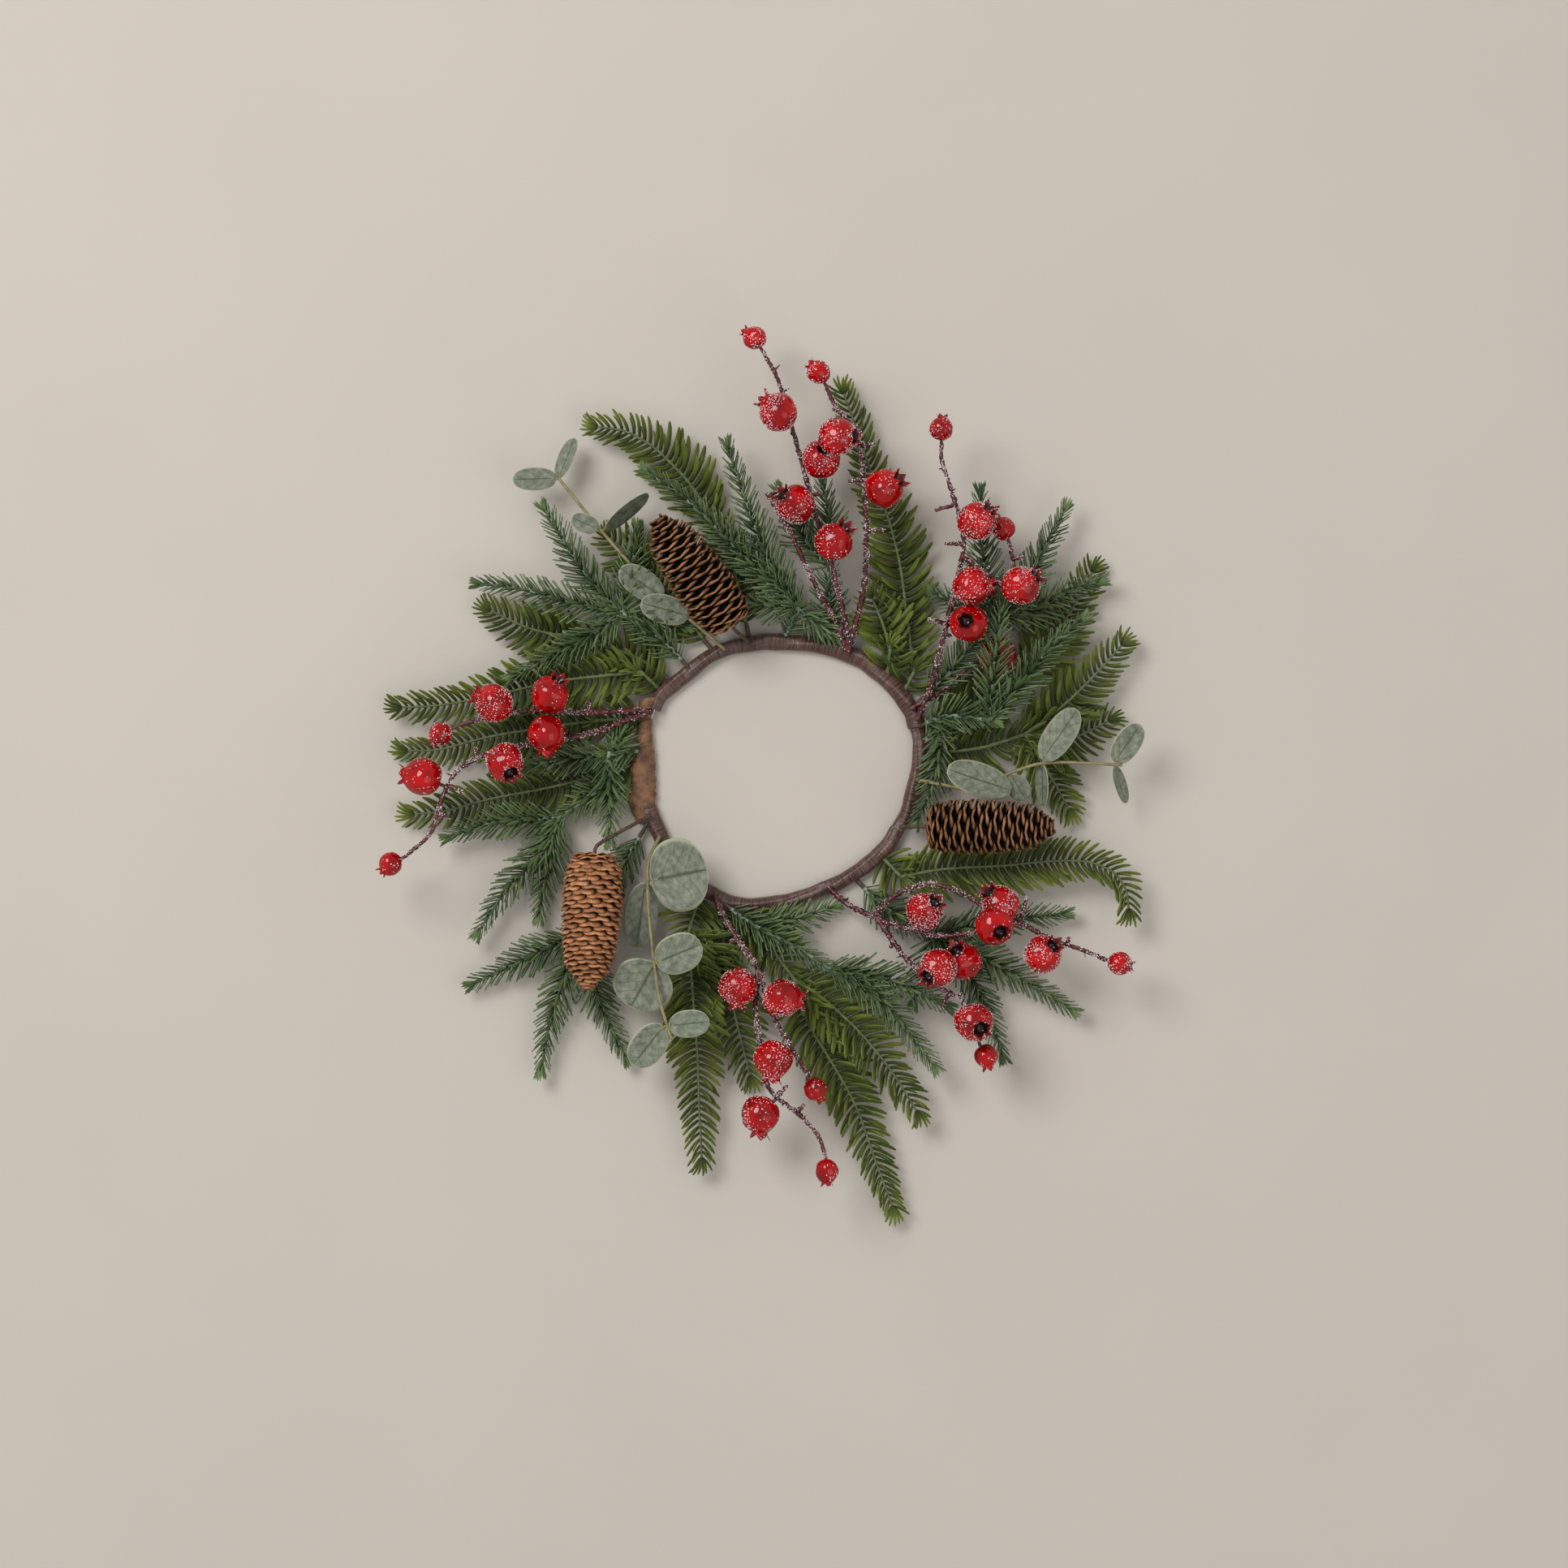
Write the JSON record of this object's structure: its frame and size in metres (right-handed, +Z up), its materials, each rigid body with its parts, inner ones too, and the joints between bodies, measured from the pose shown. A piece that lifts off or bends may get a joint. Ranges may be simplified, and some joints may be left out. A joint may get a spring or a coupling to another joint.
{
  "type": "candle ring",
  "caption": "Small wreath that lies on a table round a pillar candle, with bendable berry sprays, cones and leaves on a wrapped hoop.",
  "frame": {"origin": "centre of the candle opening, on the surface that the ring lies on", "axes": "+Z up through the opening, +Y towards the top of the picture, +X to its right"},
  "size_m": [0.293, 0.3424, 0.0434],
  "materials": {
    "satin_thread": "satin",
    "paper_tape": "crinkled",
    "steel_wire": "plain",
    "brown_wire": "paper covered",
    "fir_needles": "moulded",
    "spruce_needles": "moulded",
    "cone_scales": "natural",
    "red_berries": "glossy, frosted",
    "berry_stems": "frosted",
    "eucalyptus_leaves": "printed",
    "eucalyptus_stems": "moulded"
  },
  "bodies": {
    "root": {"berry_pick_right_berries": "red_berries", "berry_pick_right_stem": "berry_stems", "fir_pick_behind_cone": "fir_needles", "fir_pick_bottom": "fir_needles", "fir_pick_bottom_inner": "fir_needles", "fir_pick_bottom_right": "fir_needles", "fir_pick_left_lower": "fir_needles", "fir_pick_left_middle": "fir_needles", "fir_pick_left_upper": "fir_needles", "fir_pick_lower_right": "fir_needles", "fir_pick_right": "fir_needles", "fir_pick_right_back": "fir_needles", "fir_pick_top": "fir_needles", "fir_pick_top_left": "fir_needles", "fir_pick_top_small": "fir_needles", "fir_pick_upper_left": "fir_needles", "floral_tape": "paper_tape", "hoop_wire": "steel_wire", "spruce_pick_bottom": "spruce_needles", "spruce_pick_bottom_left": "spruce_needles", "spruce_pick_left": "spruce_needles", "spruce_pick_left_lower": "spruce_needles", "spruce_pick_lower_right": "spruce_needles", "spruce_pick_right": "spruce_needles", "spruce_pick_ring_side": "spruce_needles", "spruce_pick_top": "spruce_needles", "spruce_pick_top_back": "spruce_needles", "spruce_pick_top_right": "spruce_needles", "spruce_pick_upper_left": "spruce_needles", "thread_wrap_bottom": "satin_thread", "thread_wrap_lower_left": "satin_thread", "thread_wrap_lower_right": "satin_thread", "thread_wrap_right": "satin_thread", "thread_wrap_top": "satin_thread", "thread_wrap_top_left": "satin_thread", "thread_wrap_top_right": "satin_thread"},
    "cone_top": {"cone_top": "cone_scales", "cone_top_wire": "brown_wire"},
    "cone_right": {"cone_right": "cone_scales", "cone_right_wire": "brown_wire"},
    "cone_left": {"cone_left": "cone_scales", "cone_left_wire": "brown_wire"},
    "berry_spray_1": {"berry_spray_1_stem": "berry_stems", "berry_spray_1_berries": "red_berries"},
    "berry_spray_2": {"berry_spray_2_stem": "berry_stems", "berry_spray_2_berries": "red_berries"},
    "berry_spray_3": {"berry_spray_3_stem": "berry_stems", "berry_spray_3_berries": "red_berries"},
    "berry_spray_4": {"berry_spray_4_stem": "berry_stems", "berry_spray_4_berries": "red_berries"},
    "berry_spray_5": {"berry_spray_5_stem": "berry_stems", "berry_spray_5_berries": "red_berries"},
    "eucalyptus_top": {"eucalyptus_top_stem": "eucalyptus_stems", "eucalyptus_top_leaves": "eucalyptus_leaves"},
    "eucalyptus_right": {"eucalyptus_right_stem": "eucalyptus_stems", "eucalyptus_right_leaves": "eucalyptus_leaves"},
    "eucalyptus_left": {"eucalyptus_left_stem": "eucalyptus_stems", "eucalyptus_left_leaves": "eucalyptus_leaves"}
  },
  "joints": [
    {"name": "cone_top_lift", "type": "hinge", "parent": "root", "child": "cone_top", "pos_m": [-0.01212, 0.04959, 0.00654], "axis": [0.9714, 0.2375, 0], "range_deg": [0, 20]},
    {"name": "cone_right_lift", "type": "hinge", "parent": "root", "child": "cone_right", "pos_m": [0.04524, -0.02097, 0.00654], "axis": [-0.4205, -0.9073, 0], "range_deg": [0, 20]},
    {"name": "cone_left_lift", "type": "hinge", "parent": "root", "child": "cone_left", "pos_m": [-0.05051, -0.01652, 0.00654], "axis": [-0.3109, 0.9504, 0], "range_deg": [0, 20]},
    {"name": "berry_spray_1_lift", "type": "hinge", "parent": "root", "child": "berry_spray_1", "pos_m": [0.02527, 0.0458, 0.00654], "axis": [0.8756, -0.4831, 0], "range_deg": [0, 20]},
    {"name": "berry_spray_2_lift", "type": "hinge", "parent": "root", "child": "berry_spray_2", "pos_m": [0.05169, 0.01994, 0.00654], "axis": [0.3598, -0.933, 0], "range_deg": [0, 20]},
    {"name": "berry_spray_3_lift", "type": "hinge", "parent": "root", "child": "berry_spray_3", "pos_m": [-0.05011, 0.02313, 0.00654], "axis": [0.4191, 0.9079, 0], "range_deg": [0, 20]},
    {"name": "berry_spray_4_lift", "type": "hinge", "parent": "root", "child": "berry_spray_4", "pos_m": [-0.026, -0.04742, 0.00654], "axis": [-0.8768, 0.4808, 0], "range_deg": [0, 20]},
    {"name": "berry_spray_5_lift", "type": "hinge", "parent": "root", "child": "berry_spray_5", "pos_m": [0.01782, -0.0443, 0.00654], "axis": [-0.9278, -0.3731, 0], "range_deg": [0, 20]},
    {"name": "eucalyptus_top_lift", "type": "hinge", "parent": "root", "child": "eucalyptus_top", "pos_m": [-0.0221, 0.04714, 0.00654], "axis": [0.9055, 0.4244, 0], "range_deg": [0, 3]},
    {"name": "eucalyptus_right_lift", "type": "hinge", "parent": "root", "child": "eucalyptus_right", "pos_m": [0.05179, -0.00282, 0.00654], "axis": [-0.0544, -0.9985, 0], "range_deg": [0, 3]},
    {"name": "eucalyptus_left_lift", "type": "hinge", "parent": "root", "child": "eucalyptus_left", "pos_m": [-0.04689, -0.02463, 0.00654], "axis": [-0.4651, 0.8853, 0], "range_deg": [0, 20]}
  ]
}
